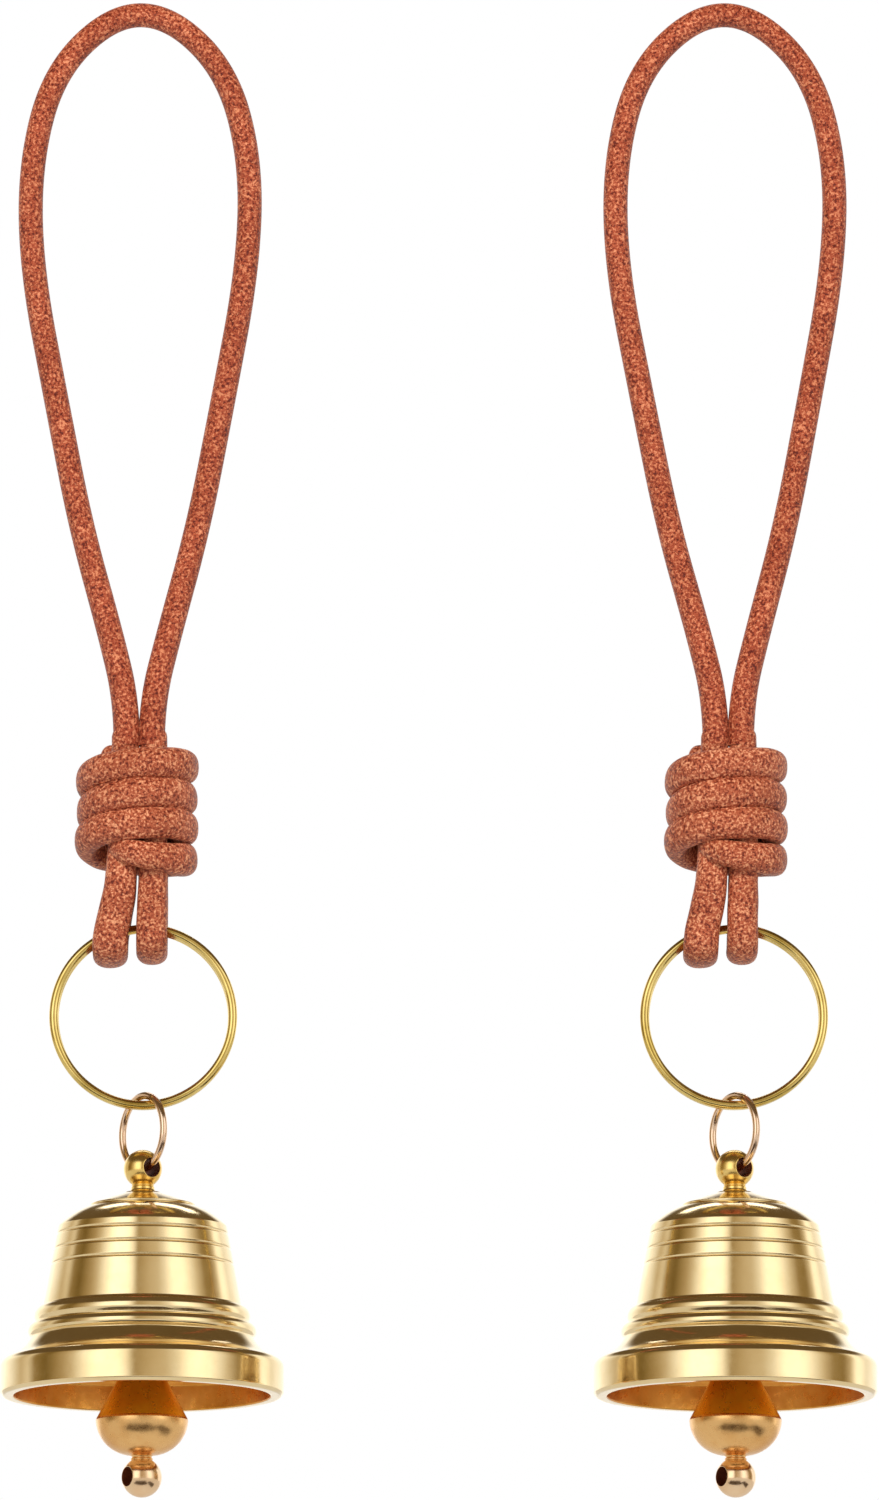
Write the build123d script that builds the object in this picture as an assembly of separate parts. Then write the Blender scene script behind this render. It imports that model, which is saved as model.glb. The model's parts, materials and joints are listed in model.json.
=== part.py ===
from build123d import *
import math
import os

os.makedirs("parts", exist_ok=True)

# A pair of bell pendants that hang side by side. Millimetres, +Z up, +Y away from the viewer.
# The origin is the hang point of the left pendant: the inner top of its leather loop.

# Driving dimensions: the pair
PENDANT_PITCH = 79.4
HANG_X = 0.8                 # the metal hangs this far right of the loop's middle

# The leather cord
CORD_D = 3.4
KNOT_TOP_Z = -99.4
KNOT_X = -0.15
KNOT_HALF_WIDTH = 8.35
KNOT_HALF_DEPTH = 7.4
WRAP_COUNT = 4
WRAP_HEIGHT = 4.4
WRAP_ROUNDING = 1.9
ARC_SHARE = 0.45             # share of the shorter run that each arc of a cord takes

# The loop's route: x, y, z from one side of the knot over the top to the other
LOOP_ROUTE = [
    (-1.7, -1.5, -99.4),
    (-1.7, -1.5, -93.5),
    (-3.9, -1.0, -83.6),
    (-7.9, -0.4, -69.1),
    (-11.1, 0.0, -52.7),
    (-14.8, 0.1, -33.4),
    (-15.0, 0.1, -18.7),
    (-11.8, 0.0, -6.2),
    (-3.9, 0.0, 1.7),
    (3.8, 0.0, 1.7),
    (11.7, 0.0, -6.1),
    (15.0, -0.1, -18.7),
    (14.6, -0.1, -33.5),
    (11.1, 0.0, -52.7),
    (8.0, -0.4, -69.2),
    (4.2, -1.0, -83.6),
    (2.1, -1.5, -93.5),
    (2.1, -1.5, -99.4),
]

# The front legs of the two folds that carry the ring: x, z from the knot down
FOLD_ROUTES = {
    "strap_fold_a": [(-2.1, -117.0), (-2.1, -118.9), (-3.25, -121.7), (-3.25, -127.55)],
    "strap_fold_b": [(2.2, -117.0), (2.2, -127.15)],
}
FOLD_HALF_DEPTH = 3.25       # from the middle plane to each leg's centre

# The split ring: one wire wound twice, 25 mm outside
RING_R = 12.0
RING_WIRE_D = 1.2
COIL_PITCH = 1.14
RING_Z = -136.1

# The jump ring
JUMP_R = 4.95
JUMP_WIRE_D = 1.0
JUMP_TURN = -55.0            # degrees from +X to the jump ring's plane, about Z
JUMP_CLEAR = 0.2

# The bell, 38 mm across the mouth. Heights are above the mouth's plane.
MOUTH_Z = -187.4
MOUTH_R = 19.0
LIP_INNER_R = 17.2
LIP_TOP = 3.7
SEAT_R = 2.5                 # flat seat on the crown, under the finial's collar
SEAT_HEIGHT = 27.4
CROWN_INNER_HEIGHT = 24.6
STUD_HOLE_R = 1.6
GROOVE_HEIGHTS = [17.7, 19.75, 21.8]
GROOVE_R = 0.2
WALL_BOTTOM = (13.3, 12.05)  # radius, height
WALL_TOP = (11.3, 22.9)

# The finial, its stud and what is on it
BALL_R = 2.57
BALL_HOLE_R = 1.3
NECK_R = 1.35
NECK_BEAD_R = 1.6
NECK_BEAD_HALF = 0.18
NECK_BEAD_HEIGHTS = [27.98, 28.42]
COLLAR_THICK = 0.35
STUD_R = 1.5
STUD_END_HEIGHT = 21.3
WASHER_R = 4.2
WASHER_THICK = 0.7
NUT_ACROSS_FLATS = 6.0
NUT_THICK = 3.0
NUT_CHAMFER = 0.25
THREAD_CLEAR = 0.05
EYE_R = 1.9
EYE_WIRE_D = 1.2
EYE_DROP = 0.3               # from the nut's underside to the top of the eye's centreline

# The clapper and the link that carries it
LINK_R = 2.2
LINK_WIRE_D = 1.0
LINK_GAP = 0.03
CLAPPER_EYE_R = 1.7
CLAPPER_EYE_WIRE_D = 1.1
CLAPPER_R = 6.2
CLAPPER_WIDEST = -3.2
CLAPPER_UNDERSIDE = -7.9
CLAPPER_STEM_R = 1.3
DOME_FULLNESS = 0.35         # how far the dome stands out from an ellipse at its middle
CONE_TOP = 6.0
TAIL_NECK_R = 1.35
TAIL_BALL_R = 2.7
TAIL_BALL_HEIGHT = -10.9
TAIL_HOLE_R = 1.3
TAIL_HOLE_TURN = 34.0        # degrees from +X to the tail hole, about Z

# Worked out from the above, still as heights above the mouth
JUMP_TOP_Z = RING_Z - RING_R + RING_WIRE_D / 2 + JUMP_WIRE_D / 2 + JUMP_CLEAR
JUMP_Z = JUMP_TOP_Z - JUMP_R
BALL_HEIGHT = JUMP_Z - JUMP_R - MOUTH_Z
WASHER_BOTTOM = CROWN_INNER_HEIGHT - WASHER_THICK
NUT_BOTTOM = WASHER_BOTTOM - NUT_THICK
EYE_HEIGHT = NUT_BOTTOM - EYE_R - EYE_DROP
LINK_HEIGHT = EYE_HEIGHT - EYE_R + (EYE_WIRE_D + LINK_WIRE_D) / 2 + LINK_GAP - LINK_R
CLAPPER_EYE_HEIGHT = (
    LINK_HEIGHT - LINK_R + (LINK_WIRE_D + CLAPPER_EYE_WIRE_D) / 2 + LINK_GAP - CLAPPER_EYE_R
)


def arc_radii(points):
    """Each corner's radius, from its shorter run and half its turn."""
    vectors = [Vector(*p) for p in points]
    radii = []
    for before, corner, after in zip(vectors, vectors[1:], vectors[2:]):
        half_turn = math.radians((corner - before).get_angle(after - corner)) / 2
        shorter = min((corner - before).length, (after - corner).length)
        radii.append(ARC_SHARE * shorter / math.tan(half_turn))
    return radii


def cord_tube(name, points):
    """A round cord of straight runs and tangent arcs."""
    radii = arc_radii(points)
    path = FilletPolyline(*points, radius=radii)
    start = Plane(origin=path @ 0, z_dir=path % 0)
    tube = sweep(start * Circle(CORD_D / 2), path=path)
    expected = math.pi * CORD_D**2 / 4 * path.length
    print(f"{name}: length {path.length:.1f}, volume {tube.volume:.0f} of {expected:.0f},",
          "radii", [round(r, 1) for r in radii])
    return tube


def rod(radius, low, high):
    """A round rod on the axis between two heights."""
    return Pos(0, 0, (low + high) / 2) * Cylinder(radius, high - low)


def turned(outline):
    """A closed outline of edges in the XZ plane, turned about Z."""
    return revolve(make_face(outline), axis=Axis.Z)


def at(radius, height):
    """A point of a turned outline, on the XZ plane."""
    return (radius, 0, height)


def strap_knot():
    """Outer shape of four turns of cord wrapped round the strands."""
    wraps = []
    for turn in range(WRAP_COUNT):
        wrap = extrude(Ellipse(KNOT_HALF_WIDTH, KNOT_HALF_DEPTH), amount=-WRAP_HEIGHT)
        wrap = fillet(wrap.edges(), WRAP_ROUNDING)
        wraps.append(Pos(KNOT_X, 0, KNOT_TOP_Z - turn * WRAP_HEIGHT) * wrap)
    return wraps[0] + wraps[1:]


def strap_fold(name, leg):
    """One strand folded under the ring, from the knot's front to its back."""
    front = [(x, -FOLD_HALF_DEPTH, z) for x, z in leg]
    back = [(x, FOLD_HALF_DEPTH, z) for x, z in reversed(leg)]
    return cord_tube(name, front + back)


def split_ring():
    """Two coils side by side, joined along their touching line."""
    coils = []
    for side in (-1, 1):
        section = Plane.XZ * Pos(RING_R, 0) * Circle(RING_WIRE_D / 2)
        coil = revolve(section, axis=Axis.Z)
        coils.append(Pos(0, 0, side * COIL_PITCH / 2) * coil)
    ring = coils[0] + coils[1]
    return Pos(HANG_X, 0, RING_Z) * Rot(90, 0, 0) * ring


def wire_ring(radius, wire_d, turn, height):
    """A closed round ring standing upright, its plane turned about Z from +X."""
    ring = Rot(90, 0, 0) * Torus(radius, wire_d / 2)
    return Pos(HANG_X, 0, height) * Rot(0, 0, turn) * ring


def jump_ring():
    return wire_ring(JUMP_R, JUMP_WIRE_D, JUMP_TURN, JUMP_Z)


def on_bell_axis(solid):
    """From heights above the mouth to the pendant's frame."""
    return Pos(HANG_X, 0, MOUTH_Z) * solid


def cross_hole(radius, height, turn, reach):
    """A cutter for a level hole through the axis."""
    return Pos(0, 0, height) * Rot(0, 0, turn) * Rot(0, 90, 0) * Cylinder(radius, reach)


def bell_shell():
    """The bell: lip band, flare, two beads, grooved wall, shoulder and crown."""
    bead_low = [at(14.9, 7.85), at(15.3, 8.5), at(14.2, 9.7)]
    bead_high = [at(14.2, 9.9), at(14.45, 10.9), at(*WALL_BOTTOM)]
    outer = Curve() + [
        Polyline(at(LIP_INNER_R, 0), at(18.6, 0), at(MOUTH_R, 0.4), at(MOUTH_R, LIP_TOP)),
        ThreePointArc(at(MOUTH_R, LIP_TOP), at(18.75, 4.55), at(18.0, 5.05)),
        ThreePointArc(at(18.0, 5.05), at(16.1, 6.2), bead_low[0]),
        ThreePointArc(*bead_low),
        Line(bead_low[-1], bead_high[0]),
        ThreePointArc(*bead_high),
        Line(at(*WALL_BOTTOM), at(*WALL_TOP)),
        ThreePointArc(at(*WALL_TOP), at(9.35, 24.5), at(6.95, 25.6)),
        Line(at(6.95, 25.6), at(6.95, 25.8)),
        ThreePointArc(at(6.95, 25.8), at(4.8, 26.75), at(SEAT_R, SEAT_HEIGHT)),
        Line(at(SEAT_R, SEAT_HEIGHT), at(STUD_HOLE_R, SEAT_HEIGHT)),
    ]
    inner = Curve() + [
        Line(at(STUD_HOLE_R, SEAT_HEIGHT), at(STUD_HOLE_R, CROWN_INNER_HEIGHT)),
        Line(at(STUD_HOLE_R, CROWN_INNER_HEIGHT), at(5.2, CROWN_INNER_HEIGHT)),
        ThreePointArc(at(5.2, CROWN_INNER_HEIGHT), at(8.6, 24.0), at(10.1, 22.3)),
        Line(at(10.1, 22.3), at(12.05, 11.6)),
        ThreePointArc(at(12.05, 11.6), at(13.2, 7.3), at(16.9, 3.4)),
        Line(at(16.9, 3.4), at(LIP_INNER_R, 0)),
    ]
    shell = turned(outer + inner)
    slope = (WALL_TOP[0] - WALL_BOTTOM[0]) / (WALL_TOP[1] - WALL_BOTTOM[1])
    for height in GROOVE_HEIGHTS:
        radius = WALL_BOTTOM[0] + slope * (height - WALL_BOTTOM[1])
        shell -= Pos(0, 0, height) * Torus(radius, GROOVE_R)
    return on_bell_axis(shell)


def neck_bead(height):
    """A small half-round ring on the finial's neck."""
    return ThreePointArc(
        at(NECK_R, height - NECK_BEAD_HALF),
        at(NECK_BEAD_R, height),
        at(NECK_R, height + NECK_BEAD_HALF),
    )


def finial():
    """Cross-drilled ball, ringed neck, collar and threaded stud, turned in one."""
    collar_top = SEAT_HEIGHT + COLLAR_THICK
    beads = [neck_bead(height) for height in NECK_BEAD_HEIGHTS]
    ball_base = BALL_HEIGHT - math.sqrt(BALL_R**2 - NECK_R**2)
    outline = Curve() + [
        Polyline(
            at(0, STUD_END_HEIGHT),
            at(STUD_R, STUD_END_HEIGHT),
            at(STUD_R, SEAT_HEIGHT),
            at(SEAT_R, SEAT_HEIGHT),
            at(SEAT_R, collar_top),
            at(NECK_R, collar_top),
            beads[0] @ 0,
        ),
        beads[0],
        Line(beads[0] @ 1, beads[1] @ 0),
        beads[1],
        Line(beads[1] @ 1, at(NECK_R, ball_base)),
        ThreePointArc(at(NECK_R, ball_base), at(BALL_R, BALL_HEIGHT), at(0, BALL_HEIGHT + BALL_R)),
        Line(at(0, BALL_HEIGHT + BALL_R), at(0, STUD_END_HEIGHT)),
    ]
    body = turned(outline) - cross_hole(BALL_HOLE_R, BALL_HEIGHT, JUMP_TURN, 4 * BALL_R)
    return on_bell_axis(body)


def crown_washer():
    washer = rod(WASHER_R, WASHER_BOTTOM, CROWN_INNER_HEIGHT)
    hole = rod(STUD_HOLE_R, WASHER_BOTTOM, CROWN_INNER_HEIGHT)
    return on_bell_axis(washer - hole)


def eye_nut():
    """Hexagon nut with a round eye under it."""
    hexagon = RegularPolygon(NUT_ACROSS_FLATS / 2, 6, major_radius=False)
    nut = Pos(0, 0, NUT_BOTTOM) * extrude(hexagon, amount=NUT_THICK)
    nut = chamfer(nut.edges().filter_by(Axis.Z, reverse=True), NUT_CHAMFER)
    eye = Pos(0, 0, EYE_HEIGHT) * Rot(90, 0, 0) * Torus(EYE_R, EYE_WIRE_D / 2)
    bore = rod(STUD_R + THREAD_CLEAR, STUD_END_HEIGHT, WASHER_BOTTOM)
    return on_bell_axis(nut + eye - bore)


def clapper_link():
    return wire_ring(LINK_R, LINK_WIRE_D, 90, MOUTH_Z + LINK_HEIGHT)


def clapper():
    """Turned clapper: eye, stem, cone, flattened dome, neck and drilled tail ball."""
    eye = Pos(0, 0, CLAPPER_EYE_HEIGHT) * Rot(90, 0, 0) * Torus(
        CLAPPER_EYE_R, CLAPPER_EYE_WIRE_D / 2
    )
    stem_top = CLAPPER_EYE_HEIGHT - CLAPPER_EYE_R
    dome_depth = CLAPPER_WIDEST - CLAPPER_UNDERSIDE
    dome_mid = at(
        CLAPPER_R * math.sqrt(0.5) + DOME_FULLNESS,
        CLAPPER_WIDEST - dome_depth * math.sqrt(0.5),
    )
    tail_top = TAIL_BALL_HEIGHT + math.sqrt(TAIL_BALL_R**2 - TAIL_NECK_R**2)
    outline = Curve() + [
        Line(at(0, stem_top), at(CLAPPER_STEM_R, stem_top)),
        Line(at(CLAPPER_STEM_R, stem_top), at(CLAPPER_STEM_R, CONE_TOP)),
        Line(at(CLAPPER_STEM_R, CONE_TOP), at(CLAPPER_R - 0.1, CLAPPER_WIDEST + 0.2)),
        Line(at(CLAPPER_R - 0.1, CLAPPER_WIDEST + 0.2), at(CLAPPER_R, CLAPPER_WIDEST)),
        ThreePointArc(at(CLAPPER_R, CLAPPER_WIDEST), dome_mid, at(TAIL_NECK_R, CLAPPER_UNDERSIDE)),
        Line(at(TAIL_NECK_R, CLAPPER_UNDERSIDE), at(TAIL_NECK_R, tail_top)),
        ThreePointArc(
            at(TAIL_NECK_R, tail_top),
            at(TAIL_BALL_R, TAIL_BALL_HEIGHT),
            at(0, TAIL_BALL_HEIGHT - TAIL_BALL_R),
        ),
        Line(at(0, TAIL_BALL_HEIGHT - TAIL_BALL_R), at(0, stem_top)),
    ]
    body = turned(outline) + eye
    body -= cross_hole(TAIL_HOLE_R, TAIL_BALL_HEIGHT, TAIL_HOLE_TURN, 4 * TAIL_BALL_R)
    return on_bell_axis(body)


def pendant():
    """Every piece of one pendant, by name."""
    pieces = {
        "strap_loop": cord_tube("strap_loop", LOOP_ROUTE),
        "strap_knot": strap_knot(),
        "split_ring": split_ring(),
        "jump_ring": jump_ring(),
        "finial": finial(),
        "bell_shell": bell_shell(),
        "crown_washer": crown_washer(),
        "eye_nut": eye_nut(),
        "clapper_link": clapper_link(),
        "clapper": clapper(),
    }
    for name, leg in FOLD_ROUTES.items():
        pieces[name] = strap_fold(name, leg)
    return pieces


for side, shift in (("left", 0.0), ("right", PENDANT_PITCH)):
    for name, piece in pendant().items():
        export_step(Pos(shift, 0, 0) * piece, f"parts/{name}_{side}.step")

print(f"jump ring centre z {JUMP_Z:.2f}, ball height {BALL_HEIGHT:.2f}, eye {EYE_HEIGHT:.2f},",
      f"link {LINK_HEIGHT:.2f}, clapper eye {CLAPPER_EYE_HEIGHT:.2f}")
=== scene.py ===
import json
import math

import bmesh
import bpy
from mathutils import Matrix, Vector, noise


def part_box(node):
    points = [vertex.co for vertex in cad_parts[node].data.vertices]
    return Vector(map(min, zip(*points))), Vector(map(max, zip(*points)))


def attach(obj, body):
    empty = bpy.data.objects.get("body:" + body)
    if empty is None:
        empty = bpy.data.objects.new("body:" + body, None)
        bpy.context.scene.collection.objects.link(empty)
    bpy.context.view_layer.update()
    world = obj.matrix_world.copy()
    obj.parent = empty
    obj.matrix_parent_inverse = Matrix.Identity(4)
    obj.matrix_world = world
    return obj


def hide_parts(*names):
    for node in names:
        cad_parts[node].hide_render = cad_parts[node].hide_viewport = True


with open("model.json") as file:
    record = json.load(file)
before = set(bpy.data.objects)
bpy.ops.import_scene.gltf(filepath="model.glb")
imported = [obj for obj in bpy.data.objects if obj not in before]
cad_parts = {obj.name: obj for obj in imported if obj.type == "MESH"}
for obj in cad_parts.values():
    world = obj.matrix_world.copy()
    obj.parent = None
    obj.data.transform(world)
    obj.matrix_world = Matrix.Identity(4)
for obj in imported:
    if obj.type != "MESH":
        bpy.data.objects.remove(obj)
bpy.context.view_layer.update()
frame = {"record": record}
mm = 0.001
sides = ["left", "right"]
mounts = {mount["name"]: Vector(mount["pos_m"]) for mount in frame["record"]["mounts"]}
hangPoint = {side: mounts[side + "_hanger"] for side in sides}
mouthHeight = {side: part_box("bell_shell_" + side)[0].z for side in sides}


def boxMiddle(node):
    low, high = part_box(node)
    return (low + high) / 2


axisX = {side: boxMiddle("bell_shell_" + side).x for side in sides}


def link(obj):
    bpy.context.scene.collection.objects.link(obj)
    return obj


# Camera: it stands below the bells and looks up at the knots

cameraLook = {
    "distance": 1.825,           # from the knots, in metres
    "pitch": 9.53,               # degrees upwards
    "pictureHeight": 0.2023,     # metres that the frame's height shows at the knots
    "sensor": 36.0,
    "aimRight": 0.0406,          # right of the left hang point
    "aimHeight": -0.0997,
    "farthest": 90.0,            # metres that the camera sees
}


def makeCamera():
    look = cameraLook
    data = bpy.data.cameras.new("camera")
    data.sensor_width = look["sensor"]
    data.lens = look["sensor"] * look["distance"] / look["pictureHeight"]
    data.clip_end = look["farthest"]
    camera = link(bpy.data.objects.new("camera", data))
    pitch = math.radians(look["pitch"])
    aim = hangPoint["left"] + Vector((look["aimRight"], 0, look["aimHeight"]))
    camera.location = aim - look["distance"] * Vector((0, math.cos(pitch), math.sin(pitch)))
    camera.rotation_euler = (math.radians(90) + pitch, 0, 0)
    bpy.context.scene.camera = camera


makeCamera()
print("camera stands")


# Materials

def opaque(colour):
    return (*colour, 1) if isinstance(colour, tuple) else (colour, colour, colour, 1)


class NodeKit:
    def __init__(self, tree):
        self.tree = tree

    def add(self, kind, inputs=None, **settings):
        node = self.tree.nodes.new(kind)
        for key, value in settings.items():
            setattr(node, key, value)
        for key, value in (inputs or {}).items():
            if isinstance(value, bpy.types.NodeSocket):
                self.tree.links.new(value, node.inputs[key])
            else:
                node.inputs[key].default_value = value
        return node

    def maths(self, operation, *values):
        node = self.add("ShaderNodeMath", dict(enumerate(values)), operation=operation)
        return node.outputs["Value"]

    def ramp(self, fac, *stops):
        node = self.add("ShaderNodeValToRGB", {"Fac": fac})
        elements = node.color_ramp.elements
        while len(elements) < len(stops):
            elements.new(0.5)
        for element, (where, colour) in zip(elements, stops):
            element.position = where
            element.color = opaque(colour)
        return node.outputs["Color"]

    def mixColours(self, factor, first, second, mode="MIX"):
        node = self.add("ShaderNodeMix", {0: factor, 6: first, 7: second}, data_type="RGBA",
                        blend_type=mode)
        return node.outputs[2]


class MaterialKit(NodeKit):
    def __init__(self, name):
        self.material = bpy.data.materials.new(name)
        self.material.use_nodes = True
        super().__init__(self.material.node_tree)
        self.shader = self.tree.nodes["Principled BSDF"]
        self.onPiece = self.add("ShaderNodeTexCoord").outputs["Object"]

    def clouds(self, scale, detail=3.0, roughness=0.55, vector=None):
        return self.add("ShaderNodeTexNoise", {
            "Vector": self.onPiece if vector is None else vector, "Scale": scale,
            "Detail": detail, "Roughness": roughness}).outputs["Fac"]

    def bumps(self, height, strength, depth):
        bump = self.add("ShaderNodeBump", {"Height": height, "Strength": strength,
                                           "Distance": depth * mm})
        self.plug(bump.outputs["Normal"], "Normal")

    def plug(self, value, socket):
        self.tree.links.new(value, self.shader.inputs[socket])

    def settle(self, values):
        for socket, value in values.items():
            self.shader.inputs[socket].default_value = value


leatherLook = {
    "base": (0.47, 0.105, 0.044),
    "light": (0.94, 0.42, 0.22),
    "dark": (0.14, 0.016, 0.006),
    "grain": 2600,               # flecks per metre
    "grainSteps": (0.39, 0.47, 0.53, 0.64),   # dark up to the first, light from the last
    "fibres": 1500,              # threads per metre
    "fibreSteps": ((0.48, 0.8), (0.74, 0.0)),
    "fade": 210,                 # slow changes of tone per metre
    "fadeSteps": (0.34, 0.66),
    "dull": (0.80, 0.72, 0.66),
    "loopTint": (0.90, 0.74, 0.70),   # the loops are a shade redder than the knots
    "rough": ((0.3, 0.40), (0.7, 0.62)),
    "bump": 0.09,                # mm
}


def leatherMaterial(name, tint):
    look = leatherLook
    kit = MaterialKit(name)
    flecks = kit.clouds(look["grain"], 3.0, 0.62)
    slow = kit.clouds(look["fade"], 3.0)
    fibres = kit.add("ShaderNodeTexNoise", {
        "Vector": kit.onPiece, "Scale": look["fibres"], "Detail": 2.5, "Roughness": 0.6,
        "Lacunarity": 2.3, "Offset": 1.0, "Gain": 3.0, "Distortion": 0.6},
        noise_type="RIDGED_MULTIFRACTAL", normalize=True).outputs["Fac"]
    tones = (look["dark"], look["base"], look["base"], look["light"])
    tone = kit.ramp(flecks, *zip(look["grainSteps"], tones))
    threads = kit.ramp(fibres, *look["fibreSteps"])
    tone = kit.mixColours(threads, tone, opaque(look["light"]))
    faded = tuple(part * dull for part, dull in zip(tint, look["dull"]))
    shade = kit.ramp(slow, *zip(look["fadeSteps"], (faded, tint)))
    kit.plug(kit.mixColours(1.0, tone, shade, "MULTIPLY"), "Base Color")
    kit.plug(kit.ramp(flecks, *look["rough"]), "Roughness")
    kit.bumps(kit.maths("ADD", flecks, fibres), 0.6, look["bump"])
    kit.settle({"Specular IOR Level": 0.4, "Sheen Weight": 0.10, "Sheen Roughness": 0.4,
                "Sheen Tint": (1.0, 0.72, 0.58, 1)})
    return kit.material


# Colour, the darker colour it clouds into, roughness, how deep the turning lines are, and
# "metal" for how metallic a look is, where it isn't all metal; boreShade is painted shade
metalLooks = {
    "bellBrass": {"colour": (0.92, 0.73, 0.41), "dark": (0.87, 0.67, 0.35), "rough": 0.13,
                  "lines": 0.10},
    "bellInside": {"colour": (0.84, 0.42, 0.09), "dark": (0.68, 0.29, 0.04), "rough": 0.30,
                   "lines": 0.30},
    "finialBrass": {"colour": (0.95, 0.69, 0.25), "dark": (0.88, 0.57, 0.15), "rough": 0.20,
                    "lines": 0.04},
    "ringBrass": {"colour": (0.88, 0.67, 0.24), "dark": (0.62, 0.44, 0.11), "rough": 0.16,
                  "lines": 0.0},
    "jumpCopper": {"colour": (0.92, 0.68, 0.49), "dark": (0.84, 0.57, 0.38), "rough": 0.16,
                   "lines": 0.0},
    "clapperBrass": {"colour": (0.88, 0.53, 0.21), "dark": (0.76, 0.40, 0.13), "rough": 0.25,
                     "lines": 0.06},
    "tailBrass": {"colour": (0.93, 0.68, 0.43), "dark": (0.85, 0.56, 0.31), "rough": 0.18,
                  "lines": 0.04},
    # the cone and its eye are a deeper orange than the clapper's brass, and less metallic
    "coneOrange": {"colour": (1.0, 0.48, 0.02), "dark": (0.94, 0.36, 0.01), "rough": 0.30,
                  "lines": 0.25, "metal": 0.7},
    # painted shade: the walls of the drilled holes, coloured as dark as the shade in them
    "boreShade": {"colour": (0.24, 0.055, 0.015), "dark": (0.12, 0.022, 0.006), "rough": 0.45,
                  "lines": 0.0, "metal": 0.6},
    "plainBrass": {"colour": (0.64, 0.43, 0.16), "dark": (0.44, 0.27, 0.08), "rough": 0.34,
                   "lines": 0.20},
    "linkWire": {"colour": (0.52, 0.44, 0.32), "dark": (0.34, 0.27, 0.18), "rough": 0.28,
                 "lines": 0.05},
}


turningLook = {
    "clouds": 190.0,             # per metre
    "cloudSteps": (0.34, 0.60),
    "smears": 900.0,
    "smearSteps": (0.32, 0.70),
    "smearRough": (0.8, 1.3),    # of the finish's own roughness
    "lines": (30.0, 30.0, 5200.0),   # long round the turned piece, fine along its axis
    "lineDepth": 0.006,          # mm
}


def turnedMetal(name):
    look = metalLooks[name]
    turning = turningLook
    kit = MaterialKit(name)
    cloud = kit.clouds(turning["clouds"], 4.0, 0.6)
    kit.plug(kit.ramp(cloud, *zip(turning["cloudSteps"], (look["dark"], look["colour"]))),
             "Base Color")
    roughness = [look["rough"] * share for share in turning["smearRough"]]
    smear = kit.clouds(turning["smears"], 3.0)
    kit.plug(kit.ramp(smear, *zip(turning["smearSteps"], roughness)), "Roughness")
    squeezed = kit.add("ShaderNodeMapping", {"Vector": kit.onPiece, "Scale": turning["lines"]})
    lines = kit.clouds(1.0, 2.0, vector=squeezed.outputs["Vector"])
    kit.bumps(lines, look["lines"], turning["lineDepth"])
    kit.settle({"Metallic": look.get("metal", 1.0)})
    return kit.material


materials = {name: turnedMetal(name) for name in metalLooks}
materials["leather"] = leatherMaterial("saddleLeather", (1.0, 1.0, 1.0))
materials["loopLeather"] = leatherMaterial("loopLeather", leatherLook["loopTint"])
print("materials are mixed")


# Meshes

def newMesh(name, verts, faces, finishes, indices=None):
    mesh = bpy.data.meshes.new(name)
    mesh.from_pydata(verts, [], faces)
    for finish in finishes:
        mesh.materials.append(materials[finish])
    if indices:
        mesh.polygons.foreach_set("material_index", indices)
    mesh.shade_smooth()
    mesh.update()
    return mesh


def joined(name, meshes):
    whole = bmesh.new()
    finishes = []
    for mesh in meshes:
        before = len(whole.faces)
        whole.from_mesh(mesh)
        whole.faces.ensure_lookup_table()
        shift = []
        for material in mesh.materials:
            if material not in finishes:
                finishes.append(material)
            shift.append(finishes.index(material))
        for face in whole.faces[before:]:
            face.material_index = shift[face.material_index]
        bpy.data.meshes.remove(mesh)
    mesh = bpy.data.meshes.new(name)
    whole.to_mesh(mesh)
    whole.free()
    for material in finishes:
        mesh.materials.append(material)
    return link(bpy.data.objects.new(name, mesh))


# A turned outline is a list of (radius, height) in mm; an arc is (middle, end) within it

def arcPoints(start, middle, end, step):
    a, b, c = Vector(start), Vector(middle), Vector(end)
    leg, base = b - a, c - a
    twice = 2 * (leg.x * base.y - leg.y * base.x)
    centre = a + Vector((base.y * leg.length_squared - leg.y * base.length_squared,
                         leg.x * base.length_squared - base.x * leg.length_squared)) / twice
    spoke = a - centre
    turn = spoke.angle_signed(b - centre) + (b - centre).angle_signed(c - centre)
    count = max(2, math.ceil(abs(turn) * spoke.length / step))
    points = []
    for index in range(1, count + 1):
        angle = -turn * index / count
        points.append(centre + Matrix.Rotation(angle, 2) @ spoke)
    return points


def finePath(outline, rounding, closed=False):
    step = rounding / 2
    corners = [Vector(outline[0])]
    for item in outline[1:]:
        if isinstance(item[0], tuple):
            corners += arcPoints(corners[-1], *item, step)
        else:
            corners.append(Vector(item))
    dense = [corners[0]]
    for corner in corners[1:]:
        run = corner - dense[-1]
        parts = max(1, round(run.length / step))
        start = dense[-1].copy()
        dense += [start + run * (part + 1) / parts for part in range(parts)]
    if closed:
        dense.pop()
    count = len(dense)
    for sweep in range(3):       # each sweep softens the corners a little more
        old = [point.copy() for point in dense]
        for index in range(0 if closed else 1, count if closed else count - 1):
            before, after = old[index - 1], old[(index + 1) % count]
            dense[index] = old[index] / 2 + (before + after) / 4
    return thinned(dense)


# Keeps the points where a path goes from straight to curved, and one for each turn by most

def thinned(dense, most=math.radians(7), flat=math.radians(0.25)):
    count = len(dense)

    def turnAt(index):
        before, here, after = dense[index - 1], dense[index], dense[(index + 1) % count]
        return (here - before).angle(after - here, 0.0)

    kept, turned, wasFlat = [0], 0.0, True
    for index in range(1, count - 1):
        turn = turnAt(index)
        isFlat = turn < flat
        turned += turn
        if isFlat != wasFlat:
            kept += [index - 1, index]
            turned = 0.0
        elif turned > most:
            kept.append(index)
            turned = 0.0
        wasFlat = isFlat
    kept.append(count - 1)
    return [dense[index] for index in sorted(set(kept))]


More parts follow.
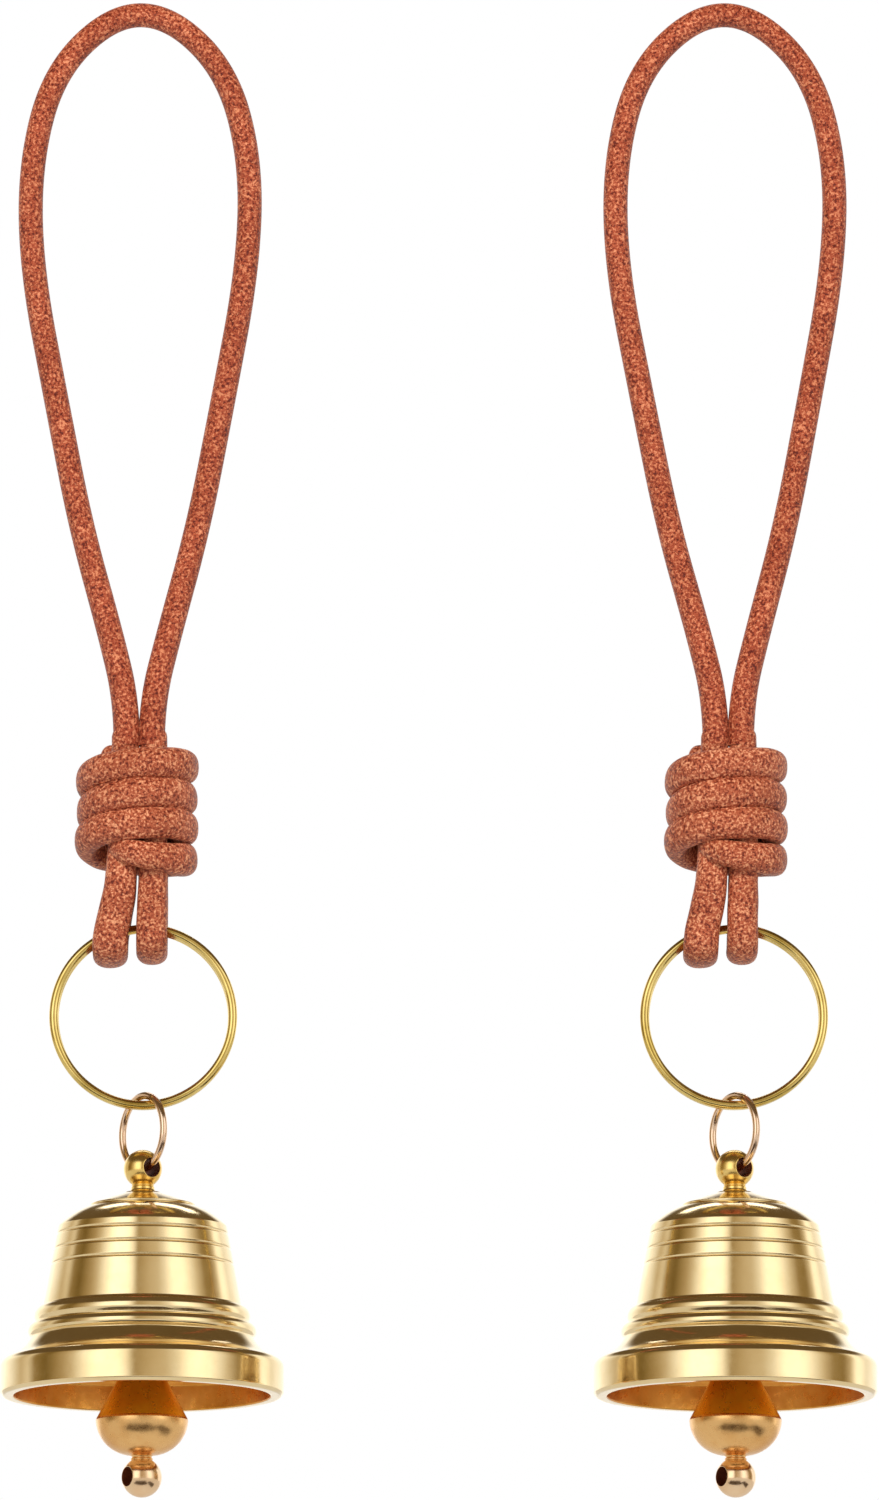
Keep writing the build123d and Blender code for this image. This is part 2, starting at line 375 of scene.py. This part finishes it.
def turnedMesh(name, path, finishes, zone=None, segments=160, closed=False):
    rings, verts, faces, indices = [], [], [], []
    for radius, height in path:
        if radius < 1e-6 and not closed:
            rings.append([len(verts)] * segments)
            verts.append((0.0, 0.0, height * mm))
            continue
        rings.append(list(range(len(verts), len(verts) + segments)))
        for turn in range(segments):
            angle = math.tau * turn / segments
            verts.append((radius * math.cos(angle) * mm, radius * math.sin(angle) * mm,
                          height * mm))
    spans = len(path) if closed else len(path) - 1
    for span in range(spans):
        low, high = rings[span], rings[(span + 1) % len(rings)]
        here, there = path[span], path[(span + 1) % len(path)]
        paint = zone(here, there) if zone else 0
        for turn in range(segments):
            following = (turn + 1) % segments
            corners = [low[turn], low[following], high[following], high[turn]]
            faces.append(list(dict.fromkeys(corners)))   # three corners at a pole
            indices.append(paint)
    return newMesh(name, verts, faces, finishes, indices)


def moved(mesh, *steps):
    for step in steps:
        mesh.transform(step)
    return mesh


def shifted(x=0.0, y=0.0, z=0.0):
    return Matrix.Translation((x, y, z))


def turnedBy(degrees, axis):
    return Matrix.Rotation(math.radians(degrees), 4, axis)


def ontoAxis(mesh, side, height):
    return moved(mesh, shifted(axisX[side], 0, height))


def eased(share):
    return share * share * (3 - 2 * share)


# Leather: the loop's route in metres, near the construction's tube all the way

cordLook = {
    "diameter": 3.4 * mm,
    "length": 0.2185,            # of one loop, from the knot over the top and back
    "topShare": 0.97,            # of the diameter, at the top of the loop
    "knotShare": 1.06,           # and where the two strands enter the knot
}

loopRoute = [
    (-0.00155, -0.0015, -0.0994), (-0.00155, -0.0015, -0.0935), (-0.0039, -0.0010, -0.0836),
    (-0.0079, -0.0004, -0.0691), (-0.0111, 0.0, -0.0527), (-0.0148, 0.0001, -0.0334),
    (-0.0150, 0.0001, -0.0187), (-0.0118, 0.0, -0.0062), (-0.0039, 0.0, 0.0017),
    (0.0038, 0.0, 0.0017), (0.0117, 0.0, -0.0061), (0.0150, -0.0001, -0.0187),
    (0.0146, -0.0001, -0.0335), (0.0111, 0.0, -0.0527), (0.0080, -0.0004, -0.0692),
    (0.0042, -0.0010, -0.0836), (0.0018, -0.0015, -0.0935), (0.0018, -0.0015, -0.0994),
]


def routeCurve(name, points, radii=None):
    curve = bpy.data.curves.new(name, "CURVE")
    curve.dimensions = "3D"
    curve.resolution_u = 24
    spline = curve.splines.new("NURBS")
    spline.points.add(len(points) - 1)
    for index, (point, place) in enumerate(zip(spline.points, points)):
        point.co = (*place, 1)
        point.radius = radii[index] if radii else 1
    spline.order_u = 3
    spline.use_endpoint_u = True
    return link(bpy.data.objects.new(name, curve))


def strapLoop(side):
    look = cordLook
    points = [Vector(point) + hangPoint[side] for point in loopRoute]
    radii = []
    for x, y, z in loopRoute:
        down = min(1, max(0, z / loopRoute[0][2]))
        radii.append(look["topShare"] + (look["knotShare"] - look["topShare"]) * down ** 3)
    loop = routeCurve("strapLoop_" + side, points, radii)
    loop.data.bevel_depth = look["diameter"] / 2
    loop.data.bevel_resolution = 8
    loop.data.use_fill_caps = True
    loop.data.materials.append(materials["loopLeather"])
    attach(loop, "root")
    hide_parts("strap_loop_" + side)
    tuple(points[0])


def spineOf(points):
    carrier = routeCurve("spine", points)
    bpy.context.view_layer.update()
    evaluated = carrier.evaluated_get(bpy.context.evaluated_depsgraph_get())
    mesh = bpy.data.meshes.new_from_object(evaluated)
    spine = [vertex.co.copy() for vertex in mesh.vertices]
    bpy.data.objects.remove(carrier)
    bpy.data.meshes.remove(mesh)
    return spine


leatherForm = {
    "sides": 36,
    "spacing": 0.45 * mm,        # between the rings of the mesh
    "squareness": 2.3,           # 2 is a true oval
    "endShare": 0.12,            # how far round its rounded end the first ring stands
    "swell": 0.07 * mm,          # unevenness of the surface
    "swellSize": 2.6 * mm,
}


def evenly(line, spacing):
    points, carried = [line[0]], 0.0
    for before, after in zip(line, line[1:]):
        run = (after - before).length
        while run > 0 and carried + run >= spacing:
            share = (spacing - carried) / run
            before = before.lerp(after, share)
            points.append(before)
            run = (after - before).length
            carried = 0.0
        carried += run
    return points


# An oval cord laid along a line; across points along its width, size(share) is its section

def ovalCord(name, line, across, size):
    look = leatherForm
    count, power = look["sides"], 2 / look["squareness"]
    points = evenly(line, look["spacing"])
    last = len(points) - 1
    verts, faces = [], []
    for index, point in enumerate(points):
        tangent = (points[min(index + 1, last)] - points[max(index - 1, 0)]).normalized()
        wide = (across - across.dot(tangent) * tangent).normalized()
        thick = tangent.cross(wide)
        width, thickness = size(index / last)
        end = min(index, last - index) * look["spacing"] / (thickness / 2)
        close = math.sqrt(1 - (1 - min(1, end + look["endShare"])) ** 2)
        for turn in range(count):
            angle = math.tau * turn / count
            right = math.copysign(abs(math.cos(angle)) ** power, math.cos(angle)) * width / 2
            up = math.copysign(abs(math.sin(angle)) ** power, math.sin(angle)) * thickness / 2
            outward = wide * right + thick * up
            place = point + outward * close
            swell = noise.noise(place / look["swellSize"]) * look["swell"]
            verts.append(place + outward.normalized() * swell)
    for ring in range(last):
        for turn in range(count):
            following = (turn + 1) % count
            faces.append([ring * count + turn, ring * count + following,
                          (ring + 1) * count + following, (ring + 1) * count + turn])
    for ring in (0, last):
        verts.append(points[ring])
        for turn in range(count):
            pair = [ring * count + turn, ring * count + (turn + 1) % count]
            faces.append((pair if ring else pair[::-1]) + [len(verts) - 1])
    return newMesh(name, verts, faces, ["leather"])


def rightWayOut(mesh):
    shell = bmesh.new()
    shell.from_mesh(mesh)
    bmesh.ops.recalc_face_normals(shell, faces=shell.faces)
    shell.to_mesh(mesh)
    shell.free()
    return mesh


# The knot: degrees round from the right by the front, height above the bell's mouth in mm,
# and how far out from the middle
knotLook = {
    "halfWidth": 6.65,           # mm, to the middle of the cord
    "halfDepth": 5.7,
    "middle": -0.15,             # right of the hang point
    "cordWidth": 4.35,           # squeezed a little flat
    "cordThickness": 3.4,
    "step": 15,                  # degrees between the route's points
    "easing": 0.35,              # 0 keeps the heights between two stations in line
    "thinFrom": 0.925,           # where along the cord its tucked end starts to thin
    "thinTo": 0.66,
    "turns": [
        (-150, 86.9, 0.62), (-118, 86.7, 0.90), (-90, 86.3, 0.99), (-45, 85.9, 1.0),
        (0, 85.3, 1.0), (45, 85.2, 1.0), (90, 84.9, 1.0), (135, 84.3, 1.0), (180, 83.3, 1.0),
        (270, 82.2, 1.0), (360, 81.0, 0.98), (405, 81.2, 0.98), (450, 80.9, 1.0),
        (495, 80.1, 1.0), (540, 79.0, 0.98), (630, 78.2, 1.0), (720, 76.9, 1.0),
        (765, 77.1, 1.0), (810, 76.8, 1.0), (855, 76.2, 1.0), (890, 75.5, 1.02),
        (915, 74.9, 1.02), (945, 74.1, 1.0), (990, 73.6, 0.97), (1035, 73.2, 0.97),
        (1080, 72.7, 0.98), (1125, 72.2, 1.0), (1160, 72.4, 1.0), (1182, 73.1, 0.93),
        (1200, 73.9, 0.80), (1216, 74.6, 0.64),
    ],
}


def between(stations, angle, easing):
    for before, after in zip(stations, stations[1:]):
        if before[0] <= angle <= after[0]:
            share = (angle - before[0]) / (after[0] - before[0])
            share = eased(share) * easing + share * (1 - easing)
            return [one + (two - one) * share for one, two in zip(before[1:], after[1:])]


def knotWraps(side):
    look = knotLook
    middle = hangPoint[side].x + look["middle"] * mm
    points = []
    for angle in range(look["turns"][0][0], look["turns"][-1][0] + 1, look["step"]):
        height, out = between(look["turns"], angle, look["easing"])
        points.append(Vector((
            middle + look["halfWidth"] * mm * out * math.cos(math.radians(angle)),
            -look["halfDepth"] * mm * out * math.sin(math.radians(angle)),
            mouthHeight[side] + height * mm)))

    def size(share):
        thin = max(0.0, (share - look["thinFrom"]) / (1 - look["thinFrom"]))
        shrink = 1 - (1 - look["thinTo"]) * thin
        return look["cordWidth"] * mm * shrink, look["cordThickness"] * mm * shrink

    wraps = ovalCord("knotWraps_" + side, spineOf(points), Vector((0, 0, 1)), size)
    piece = link(bpy.data.objects.new("knotWraps_" + side, rightWayOut(wraps)))
    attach(piece, "root")
    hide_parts("strap_knot_" + side)


# The two folds that carry the ring: x, y, height above the mouth in mm, and widths in mm
foldLook = {
    "thickness": 3.35,
    "topWidth": 3.7,
    "spread": 0.42,              # share of the cord, each way from the bottom, that is wider
    "tuckedBack": 2.6,           # how far behind the middle the back strand goes up
    "a": {"bottomWidth": 4.75, "front": [
        (-1.7, -1.5, 90.6), (-1.75, -1.6, 84.0), (-1.9, -2.4, 77.5), (-2.1, -3.2, 72.0),
        (-2.3, -3.3, 68.4), (-3.0, -3.25, 65.0), (-3.6, -3.25, 62.3), (-3.7, -3.25, 59.75)]},
    "b": {"bottomWidth": 4.2, "front": [
        (2.1, -1.5, 90.6), (2.1, -1.6, 84.0), (2.1, -2.4, 77.5), (2.1, -3.2, 72.0),
        (2.05, -3.3, 68.0), (1.95, -3.25, 64.0), (1.9, -3.25, 60.15)]},
}


def strapFold(side, letter):
    look = foldLook
    front, bottomWidth = look[letter]["front"], look[letter]["bottomWidth"]
    back = [(x, -y, height) for x, y, height in reversed(front[3:])]
    back.append((front[2][0], look["tuckedBack"], front[2][2]))
    base = Vector((hangPoint[side].x, 0, mouthHeight[side]))
    spine = spineOf([base + Vector(point) * mm for point in front + back])
    lowest = spine.index(min(spine, key=lambda point: point.z)) / (len(spine) - 1)

    def size(share):
        wider = eased(max(0.0, 1 - abs(share - lowest) / look["spread"]))
        width = look["topWidth"] + (bottomWidth - look["topWidth"]) * wider
        return width * mm, look["thickness"] * mm

    mesh = ovalCord("fold", spine, Vector((1, 0, 0)), size)
    piece = link(bpy.data.objects.new("strapFold_" + letter + "_" + side, rightWayOut(mesh)))
    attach(piece, "root")
    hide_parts("strap_fold_" + letter + "_" + side)


for side in sides:
    strapLoop(side)
print("loops hang")
for side in sides:
    knotWraps(side)
    strapFold(side, "a")
    strapFold(side, "b")
print("knots are tied")


# Geometry Nodes: a wire wound in one or more coils, with a step from one coil to the next

def woundWireTree():
    tree = bpy.data.node_groups.new("woundWire", "GeometryNodeTree")
    sockets = tree.interface
    sockets.new_socket("Geometry", in_out="INPUT", socket_type="NodeSocketGeometry")
    for name in ("Radius", "Growth", "Turns", "Coil Pitch", "Step", "Gap", "Wire Diameter"):
        sockets.new_socket(name, in_out="INPUT", socket_type="NodeSocketFloat")
    sockets.new_socket("Finish", in_out="INPUT", socket_type="NodeSocketMaterial")
    sockets.new_socket("Geometry", in_out="OUTPUT", socket_type="NodeSocketGeometry")
    kit = NodeKit(tree)
    add, maths = kit.add, kit.maths
    given = add("NodeGroupInput").outputs
    spiral = add("GeometryNodeCurveSpiral", {
        "Resolution": 128, "Rotations": given["Turns"], "Start Radius": given["Radius"],
        "End Radius": maths("ADD", given["Radius"], given["Growth"]), "Height": 0.0})
    along = add("GeometryNodeSplineParameter")
    rise = add("ShaderNodeMapRange", {
        "Value": along.outputs["Factor"], "From Min": maths("SUBTRACT", 0.5, given["Step"]),
        "From Max": maths("ADD", 0.5, given["Step"]), "To Min": -0.5, "To Max": 0.5},
        interpolation_type="SMOOTHSTEP")
    lift = add("ShaderNodeCombineXYZ", {
        "Z": maths("MULTIPLY", rise.outputs["Result"], given["Coil Pitch"])})
    wound = add("GeometryNodeSetPosition", {
        "Geometry": spiral.outputs["Curve"], "Offset": lift.outputs["Vector"]})
    cut = add("GeometryNodeTrimCurve", {
        "Curve": wound.outputs["Geometry"], "Start": given["Gap"],
        "End": maths("SUBTRACT", 1.0, given["Gap"])})
    section = add("GeometryNodeCurvePrimitiveCircle", {
        "Resolution": 28, "Radius": maths("MULTIPLY", given["Wire Diameter"], 0.5)})
    sweep = add("GeometryNodeCurveToMesh", {
        "Curve": cut.outputs["Curve"], "Profile Curve": section.outputs["Curve"],
        "Fill Caps": True})
    whole = add("GeometryNodeRealizeInstances", {"Geometry": sweep.outputs["Mesh"]})
    painted = add("GeometryNodeSetMaterial", {
        "Geometry": whole.outputs["Geometry"], "Material": given["Finish"]})
    add("NodeGroupOutput", {0: painted.outputs["Geometry"]})
    return tree


woundWire = woundWireTree()


def wireMesh(finish, **sizes):
    carrier = link(bpy.data.objects.new("wire", bpy.data.meshes.new("wire")))
    modifier = carrier.modifiers.new("wound", "NODES")
    modifier.node_group = woundWire
    values = dict(sizes, Finish=materials[finish])
    for item in woundWire.interface.items_tree:
        if item.in_out == "INPUT" and item.name.replace(" ", "") in values:
            modifier[item.identifier] = values[item.name.replace(" ", "")]
    bpy.context.view_layer.update()
    evaluated = carrier.evaluated_get(bpy.context.evaluated_depsgraph_get())
    mesh = bpy.data.meshes.new_from_object(evaluated)
    bpy.data.objects.remove(carrier)
    mesh.shade_smooth()
    return rightWayOut(mesh)


# Sizes in mm, step and gap as shares of the wire's length, turn and jointAt in degrees
wireLook = {
    "splitRing": {"radius": 11.93, "growth": 0.14, "wire": 1.2, "pitch": 1.14, "step": 0.020},
    "jumpRing": {"radius": 4.95, "wire": 1.0, "gap": 0.0016, "turn": -55.0, "jointAt": 62.0},
    "clapperLink": {"radius": 2.2, "wire": 1.0, "gap": 0.004, "turn": 90.0, "jointAt": 180.0},
}


def splitRing(side):
    look = wireLook["splitRing"]
    wire = wireMesh("ringBrass", Radius=look["radius"] * mm, Growth=look["growth"] * mm,
                    Turns=2.0, CoilPitch=look["pitch"] * mm, Step=look["step"],
                    Gap=look["step"], WireDiameter=look["wire"] * mm)
    moved(wire, turnedBy(90, "Z"), turnedBy(90, "X"))
    ontoAxis(wire, side, boxMiddle("split_ring_" + side).z)
    piece = link(bpy.data.objects.new("splitRing_" + side, wire))
    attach(piece, "ring_" + side)
    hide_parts("split_ring_" + side)


def smallRing(side, name, node, body, finish):
    look = wireLook[name]
    wire = wireMesh(finish, Radius=look["radius"] * mm, Growth=0.0, Turns=1.0, CoilPitch=0.0,
                    Step=0.1, Gap=look["gap"], WireDiameter=look["wire"] * mm)
    moved(wire, turnedBy(look["jointAt"], "Z"), turnedBy(90, "X"), turnedBy(look["turn"], "Z"))
    ontoAxis(wire, side, boxMiddle(node).z)
    piece = link(bpy.data.objects.new(name + "_" + side, wire))
    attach(piece, body)
    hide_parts(node)


for side in sides:
    splitRing(side)
    smallRing(side, "jumpRing", "jump_ring_" + side, "jump_" + side, "jumpCopper")
    smallRing(side, "clapperLink", "clapper_link_" + side, "link_" + side, "linkWire")
print("rings are wound")


# The bell: heights above its mouth, in mm

bellLook = {
    "rounding": 0.14,
    "wallBottom": (13.3, 12.05),
    "wallTop": (11.3, 22.9),
    "grooves": [17.7, 19.75, 21.8],
    "grooveWidth": 0.34,
    "grooveDepth": 0.20,
    "lip": [(17.2, 0), (18.6, 0), (19.0, 0.4), (19.0, 3.7), ((18.75, 4.55), (18.0, 5.05))],
    "flare": [((16.1, 6.2), (14.9, 7.85))],
    "lowerBead": [((15.3, 8.5), (14.2, 9.7)), (14.2, 9.9)],
    "upperBead": (14.45, 10.9),
    "crown": [((9.35, 24.5), (6.95, 25.6)), (7.05, 25.85), ((4.8, 26.7), (2.5, 27.4))],
    "studHole": [(1.6, 27.4), (1.6, 24.6)],
    "inside": [(5.2, 24.6), ((8.6, 24.0), (10.1, 22.3)), (12.05, 11.6),
               ((13.2, 7.3), (16.9, 3.4)), (17.2, 0)],
    "segments": 192,
    "ceilingBand": (24, 25),     # heights between which the ceiling starts
    "ceilingRadius": 7,
}


def bellOutline():
    look = bellLook
    bottom, top = Vector(look["wallBottom"]), Vector(look["wallTop"])
    slope = (top - bottom).normalized()
    inward = Vector((-slope.y, slope.x))
    outline = look["lip"] + look["flare"] + look["lowerBead"]
    outline.append((look["upperBead"], look["wallBottom"]))
    for height in look["grooves"]:
        middle = bottom + slope * (height - bottom.y) / slope.y
        half = slope * look["grooveWidth"] / 2
        outline += [tuple(middle - half), (tuple(middle + inward * look["grooveDepth"]),
                                           tuple(middle + half))]
    return outline + [look["wallTop"]] + look["crown"] + look["studHole"] + look["inside"]


# Inside is where the outline goes down, and the ceiling, where it goes outwards near the top

def facesInward(here, there):
    low, high = bellLook["ceilingBand"]
    run = there - here
    goesOut = run.x > 0.5 * run.length and there.x < bellLook["ceilingRadius"]
    ceiling = low < here.y < high and goesOut
    return 1 if ceiling or run.y < -0.1 * run.length else 0


def bellShell(side):
    path = finePath(bellOutline(), bellLook["rounding"], closed=True)
    mesh = turnedMesh("bellShell", path, ["bellBrass", "bellInside"], zone=facesInward,
                      segments=bellLook["segments"], closed=True)
    ontoAxis(mesh, side, mouthHeight[side])
    piece = link(bpy.data.objects.new("bellShell_" + side, rightWayOut(mesh)))
    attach(piece, "bell_" + side)
    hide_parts("bell_shell_" + side)


# A ball with a cross hole, turned about the hole and then laid level

def drilledBall(name, radius, hole, rounding, turn, height, finish):
    end = math.sqrt(radius ** 2 - hole ** 2)
    outline = [(hole, -end), ((radius, 0), (hole, end)), (hole, -end)]
    # the bore's wall gets painted shade, and its rounded edge keeps the ball's brass
    shadeTo = hole + 0.03        # the hole's wall is dark, and its edge is not

    def inBore(here, there):
        return 1 if max(here.x, there.x) < shadeTo else 0

    path = finePath(outline, rounding, closed=True)
    mesh = turnedMesh(name, path, [finish, "boreShade"], zone=inBore, segments=96, closed=True)
    return moved(mesh, turnedBy(90, "Y"), turnedBy(turn, "Z"), shifted(0, 0, height * mm))


# The finial and the clapper: heights above the bell's mouth in mm, turn in degrees
finialLook = {
    "ballHeight": 30.7,
    "ball": 2.57,
    "hole": 1.3,
    "turn": -55.0,
    "rounding": 0.12,
    "stemRounding": 0.10,
    "stem": [
        (0, 21.3), (1.5, 21.3), (1.5, 27.2), (2.5, 27.2), (2.35, 27.55),
        ((1.7, 27.7), (1.55, 28.1)), ((1.5, 28.3), (1.35, 28.35)),
        ((1.5, 28.47), (1.35, 28.59)), ((1.25, 28.75), (1.45, 29.0)), (1.3, 29.25), (0, 29.25),
    ],
}


def finial(side):
    look = finialLook
    parts = [
        turnedMesh("stem", finePath(look["stem"], look["stemRounding"]), ["finialBrass"],
                   segments=96),
        drilledBall("ball", look["ball"], look["hole"], look["rounding"], look["turn"],
                    look["ballHeight"], "finialBrass"),
    ]
    piece = joined("finial_" + side, [rightWayOut(part) for part in parts])
    ontoAxis(piece.data, side, mouthHeight[side])
    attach(piece, "bell_" + side)
    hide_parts("finial_" + side)


clapperLook = {
    "tailHeight": -10.9,
    "tail": 2.7,
    "hole": 1.3,
    "turn": 34.0,
    "rounding": 0.12,
    "eyeRadius": 1.7,
    "eyeWire": 1.1,
    "eyeHeight": 12.91,
    "coneFoot": -3.0,            # the orange starts here
    "bodyRounding": 0.14,
    "body": [
        (0, -9.4), (1.3, -9.4), (1.45, -9.0), ((1.3, -8.75), (1.3, -8.6)),
        ((1.5, -8.45), (1.3, -8.3)), ((1.35, -8.1), (1.65, -7.9)), ((4.73, -6.52), (6.2, -3.2)),
        (6.1, -3.0), (1.3, 6.0), (1.3, 11.3), (0, 11.3),
    ],
}


def clapper(side):
    look = clapperLook

    def onCone(here, there):
        return 1 if look["coneFoot"] <= min(here.y, there.y) else 0

    eye = wireMesh("coneOrange", Radius=look["eyeRadius"] * mm, Growth=0.0, Turns=1.0,
                   CoilPitch=0.0, Step=0.1, Gap=0.0, WireDiameter=look["eyeWire"] * mm)
    moved(eye, turnedBy(-90, "Z"), turnedBy(90, "X"), shifted(0, 0, look["eyeHeight"] * mm))
    parts = [
        turnedMesh("body", finePath(look["body"], look["bodyRounding"]),
                   ["clapperBrass", "coneOrange"], zone=onCone, segments=128),
        drilledBall("tail", look["tail"], look["hole"], look["rounding"], look["turn"],
                    look["tailHeight"], "tailBrass"),
        eye,
    ]
    piece = joined("clapper_" + side, [rightWayOut(part) for part in parts])
    ontoAxis(piece.data, side, mouthHeight[side])
    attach(piece, "clapper_" + side)
    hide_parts("clapper_" + side)


def plainFittings(side):
    for node in ("crown_washer_" + side, "eye_nut_" + side):
        fitting = bpy.data.objects[node]
        for slot in fitting.material_slots:
            slot.material = materials["plainBrass"]


for side in sides:
    bellShell(side)
    finial(side)
    clapper(side)
    plainFittings(side)
print("bells are turned")


# Studio: how bright the room is at each angle, in degrees from the camera's side to its right
studioLook = {
    "room": [
        (-180, 1.2), (-150, 1.35), (-131, 0.95), (-116, 0.60), (-105, 0.80), (-97, 0.30),
        (-84, 0.18), (-75, 0.32), (-66, 0.46), (-58, 0.66), (-50, 1.0), (-36, 1.7), (-20, 1.6),
        (-12, 1.15), (-5, 0.36), (2, 0.50), (11, 0.60), (21, 0.66), (30, 0.90), (39, 1.4),
        (50, 1.5), (58, 1.35), (66, 1.0), (75, 0.68), (86, 0.32), (98, 0.27), (107, 0.60),
        (115, 1.3), (122, 1.3), (131, 0.95), (150, 1.2), (180, 1.2),
    ],
    "scale": 2.0,                # the ramp holds levels up to 1
    "warmBelow": 0.95,           # levels under this grow warmer as they grow darker
    "dimAbove": (0.45, 0.60),    # sine of the height where the ceiling grows dark
    "lean": 0.10,                # the ceiling starts lower behind than in front
    "ceiling": (0.13, 0.090, 0.045),
    "toCloth": 0.27,             # how bright the whole room is to matt surfaces
}


def warmed(level):
    look = studioLook
    share = min(1, level / look["warmBelow"])
    level = level / look["scale"]
    return level, level * (0.60 + 0.40 * share), level * (0.02 + 0.98 * share)


def studioWorld():
    look = studioLook
    world = bpy.data.worlds.new("studio")
    world.use_nodes = True
    bpy.context.scene.world = world
    world.node_tree.nodes.clear()
    kit = NodeKit(world.node_tree)
    way = kit.add("ShaderNodeTexCoord").outputs["Generated"]
    axes = kit.add("ShaderNodeSeparateXYZ", {0: way}).outputs
    angle = kit.maths("ARCTAN2", axes["X"], kit.maths("MULTIPLY", axes["Y"], -1.0))
    around = kit.maths("MULTIPLY_ADD", angle, 1 / math.tau, 0.5)
    room = kit.ramp(around, *[(degrees / 360 + 0.5, warmed(level))
                              for degrees, level in look["room"]])
    bright = kit.mixColours(1.0, room, opaque(look["scale"]), "MULTIPLY")
    leaning = kit.maths("MULTIPLY_ADD", axes["Y"], look["lean"], axes["Z"])
    high = kit.add("ShaderNodeMapRange", {
        "Value": leaning, "From Min": look["dimAbove"][0], "From Max": look["dimAbove"][1]},
        interpolation_type="SMOOTHSTEP").outputs[0]
    shaded = kit.mixColours(high, bright, opaque(look["ceiling"]))
    rays = kit.add("ShaderNodeLightPath").outputs
    soft = kit.mixColours(rays["Is Diffuse Ray"], shaded, opaque(look["toCloth"]))
    whole = kit.mixColours(rays["Is Camera Ray"], soft, opaque(1.0))
    light = kit.add("ShaderNodeBackground", {"Color": whole, "Strength": 1.0})
    kit.add("ShaderNodeOutputWorld", {"Surface": light.outputs[0]})
    bpy.context.scene.view_settings.view_transform = "Standard"


lampLook = {
    "aim": (0.04, 0, -0.1),      # between the two knots, in metres
    "keyLight": {"at": (-0.2, -0.95, 0.65), "size": (0.4, 0.4), "watts": 12.0,
                 "mirrored": False},
    "fillLight": {"at": (0.7, -0.8, -0.1), "size": (0.6, 0.6), "watts": 2.6,
                  "mirrored": False},
    "stripLight": {"at": (0.04, 0.85, 0.75), "size": (0.7, 0.2), "watts": 1.1,
                   "mirrored": True},
}


def softbox(name):
    look = lampLook[name]
    data = bpy.data.lights.new(name, "AREA")
    data.shape = "RECTANGLE"
    data.size, data.size_y = look["size"]
    data.energy = look["watts"]
    lamp = link(bpy.data.objects.new(name, data))
    lamp.location = look["at"]
    ray = Vector(lampLook["aim"]) - Vector(look["at"])
    lamp.rotation_euler = ray.to_track_quat("-Z", "Y").to_euler()
    lamp.visible_camera = False
    lamp.visible_glossy = look["mirrored"]


floorLook = {
    "drop": 3.5,                 # metres below the hang point
    "radius": 28.0,
    "sides": 96,
    "patches": 3.0,              # per metre, of its two near whites
    "dull": (0.86, 0.85, 0.84),
    "pale": (0.90, 0.89, 0.88),
    "glow": 0.42,
}


def paleFloor():
    look = floorLook
    kit = MaterialKit("paleFloor")
    patches = kit.clouds(look["patches"], 2.0)
    kit.plug(kit.ramp(patches, (0.3, look["dull"]), (0.7, look["pale"])), "Base Color")
    kit.settle({"Roughness": 0.8, "Emission Color": (1.0, 0.97, 0.92, 1),
                "Emission Strength": look["glow"]})
    materials["paleFloor"] = kit.material
    rim = []
    for turn in range(look["sides"]):
        angle = math.tau * turn / look["sides"]
        rim.append((look["radius"] * math.cos(angle), look["radius"] * math.sin(angle),
                    -look["drop"]))
    mesh = newMesh("floor", rim, [list(range(look["sides"]))], ["paleFloor"])
    link(bpy.data.objects.new("floor", mesh))


# Two dark cards lie just over the floor, and only reflections see them
cardLook = {
    "colour": (0.12, 0.07, 0.035),
    "overFloor": 0.01,           # metres
    "cards": [(-0.56, -4.8, 7.0, 4.1), (4.8, -2.1, 3.2, 4.8)],   # x, y, width, depth
}


def shadeCards():
    look = cardLook
    kit = MaterialKit("cardPaint")
    kit.settle({"Base Color": opaque(look["colour"])})
    materials["cardPaint"] = kit.material
    height = look["overFloor"] - floorLook["drop"]
    for number, (x, y, width, depth) in enumerate(look["cards"]):
        corners = [(x + across * width / 2, y + along * depth / 2, height)
                   for across, along in ((-1, -1), (1, -1), (1, 1), (-1, 1))]
        mesh = newMesh("shadeCard", corners, [(0, 1, 2, 3)], ["cardPaint"])
        card = link(bpy.data.objects.new("shadeCard" + str(number + 1), mesh))
        card.visible_camera = False
        card.visible_diffuse = False
        card.visible_shadow = False


studioWorld()
paleFloor()
shadeCards()
for name in ("keyLight", "fillLight", "stripLight"):
    softbox(name)
print("studio is lit")
